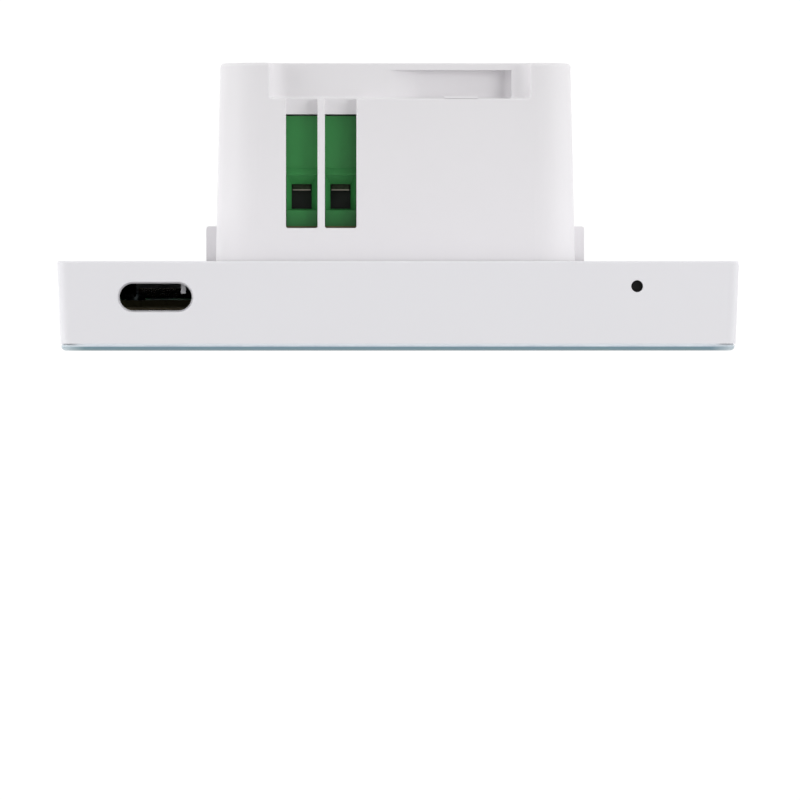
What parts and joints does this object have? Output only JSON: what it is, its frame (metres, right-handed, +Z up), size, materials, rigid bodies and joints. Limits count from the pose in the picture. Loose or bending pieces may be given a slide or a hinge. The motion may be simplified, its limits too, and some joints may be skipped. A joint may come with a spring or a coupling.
{
  "type": "wall thermostat",
  "caption": "Square wall panel thermostat: slim white shell with a glass front, and a tapered rear box with green screw terminals for power and signal wires.",
  "frame": {"origin": "centre of the wall plane, on the mounting plate's rear face, midway between the two wall screw slots", "axes": "+X right seen from the room, +Y into the wall along the wall screws, +Z up; the glass faces -Y"},
  "size_m": [0.086, 0.0368, 0.086],
  "materials": {
    "white_plastic": "fine satin moulding",
    "front_glass": "polished, dark backed",
    "tape": "pale foam tape",
    "display": "dark, switched off",
    "black_plastic": "matt moulding",
    "cloth": "fine woven dust cloth",
    "circuit_board": "solder mask",
    "chip": "matt",
    "shield_can": "tinned sheet",
    "ribbon": "amber film",
    "ivory_plastic": "satin",
    "plated_steel": "zinc plated",
    "dark_zinc": "dark zinc plated",
    "brass": "tinned",
    "green_plastic": "satin moulding",
    "relay_case": "smooth",
    "ferrite": "dull",
    "winding_tape": "tape",
    "capacitor_sleeve": "shrink sleeve",
    "varistor_coat": "dipped coat",
    "fuse_case": "satin"
  },
  "bodies": {
    "wall_unit": {"mounting_plate": "white_plastic", "rear_box": "white_plastic", "power_board": "circuit_board", "power_board_screws": "plated_steel", "board_socket": "black_plastic", "relay": "relay_case", "transformer_core": "ferrite", "transformer_bobbin": "black_plastic", "transformer_winding": "winding_tape", "filter_capacitor": "capacitor_sleeve", "output_capacitor": "capacitor_sleeve", "varistor": "varistor_coat", "fuse": "fuse_case", "power_terminal_body": "green_plastic", "signal_terminal_body": "green_plastic", "power_contact_bars": "brass", "signal_contact_bars": "brass"},
    "front_unit": {"front_shell": "white_plastic", "glass_panel": "front_glass", "glass_adhesive": "tape", "display_module": "display", "inner_frame": "black_plastic", "vent_mesh": "cloth", "control_board": "circuit_board", "temperature_sensor": "chip", "processor": "chip", "wireless_module": "shield_can", "reset_switch_body": "chip", "display_flex": "ribbon", "flex_connector": "ivory_plastic", "front_screws": "dark_zinc", "header_strip": "black_plastic", "header_pins": "brass"},
    "reset_button": {"reset_plunger": "ivory_plastic"},
    "power_screw_left_body": {"power_screw_left": "dark_zinc"},
    "power_screw_right_body": {"power_screw_right": "dark_zinc"},
    "signal_screw_left_body": {"signal_screw_left": "dark_zinc"},
    "signal_screw_right_body": {"signal_screw_right": "dark_zinc"},
    "power_clamp_left_body": {"power_clamp_left": "plated_steel"},
    "power_clamp_right_body": {"power_clamp_right": "plated_steel"},
    "signal_clamp_left_body": {"signal_clamp_left": "plated_steel"},
    "signal_clamp_right_body": {"signal_clamp_right": "plated_steel"}
  },
  "joints": [
    {"name": "front_pull_off", "type": "slide", "parent": "wall_unit", "child": "front_unit", "axis": [0, -1, 0], "range_m": [0, 0.02]},
    {"name": "reset_press", "type": "slide", "parent": "front_unit", "child": "reset_button", "axis": [0, 0, -1], "range_m": [0, 0.00025], "stiffness_N_per_m": 3000},
    {"name": "power_screw_left_turn", "type": "hinge", "parent": "wall_unit", "child": "power_screw_left_body", "pos_m": [-0.01212, 0.0187, 0.01581], "axis": [0, -1, 0], "range_deg": [0, 1441]},
    {"name": "power_clamp_left_rise", "type": "slide", "parent": "wall_unit", "child": "power_clamp_left_body", "axis": [0, 1, 0], "range_m": [0, 0.002]},
    {"name": "power_screw_right_turn", "type": "hinge", "parent": "wall_unit", "child": "power_screw_right_body", "pos_m": [-0.00712, 0.0187, 0.01581], "axis": [0, -1, 0], "range_deg": [0, 1441]},
    {"name": "power_clamp_right_rise", "type": "slide", "parent": "wall_unit", "child": "power_clamp_right_body", "axis": [0, 1, 0], "range_m": [0, 0.002]},
    {"name": "signal_screw_left_turn", "type": "hinge", "parent": "wall_unit", "child": "signal_screw_left_body", "pos_m": [-0.00323, 0.00862, -0.02097], "axis": [0, 0, 1], "range_deg": [0, 721]},
    {"name": "signal_clamp_left_rise", "type": "slide", "parent": "wall_unit", "child": "signal_clamp_left_body", "axis": [0, 0, -1], "range_m": [0, 0.001]},
    {"name": "signal_screw_right_turn", "type": "hinge", "parent": "wall_unit", "child": "signal_screw_right_body", "pos_m": [0.00177, 0.00862, -0.02097], "axis": [0, 0, 1], "range_deg": [0, 721]},
    {"name": "signal_clamp_right_rise", "type": "slide", "parent": "wall_unit", "child": "signal_clamp_right_body", "axis": [0, 0, -1], "range_m": [0, 0.001]}
  ],
  "couplings": [
    {"joint": "power_screw_left_turn", "follows": "power_clamp_left_rise", "rad_per_m": 12566},
    {"joint": "power_screw_right_turn", "follows": "power_clamp_right_rise", "rad_per_m": 12566},
    {"joint": "signal_screw_left_turn", "follows": "signal_clamp_left_rise", "rad_per_m": 12566},
    {"joint": "signal_screw_right_turn", "follows": "signal_clamp_right_rise", "rad_per_m": 12566}
  ]
}
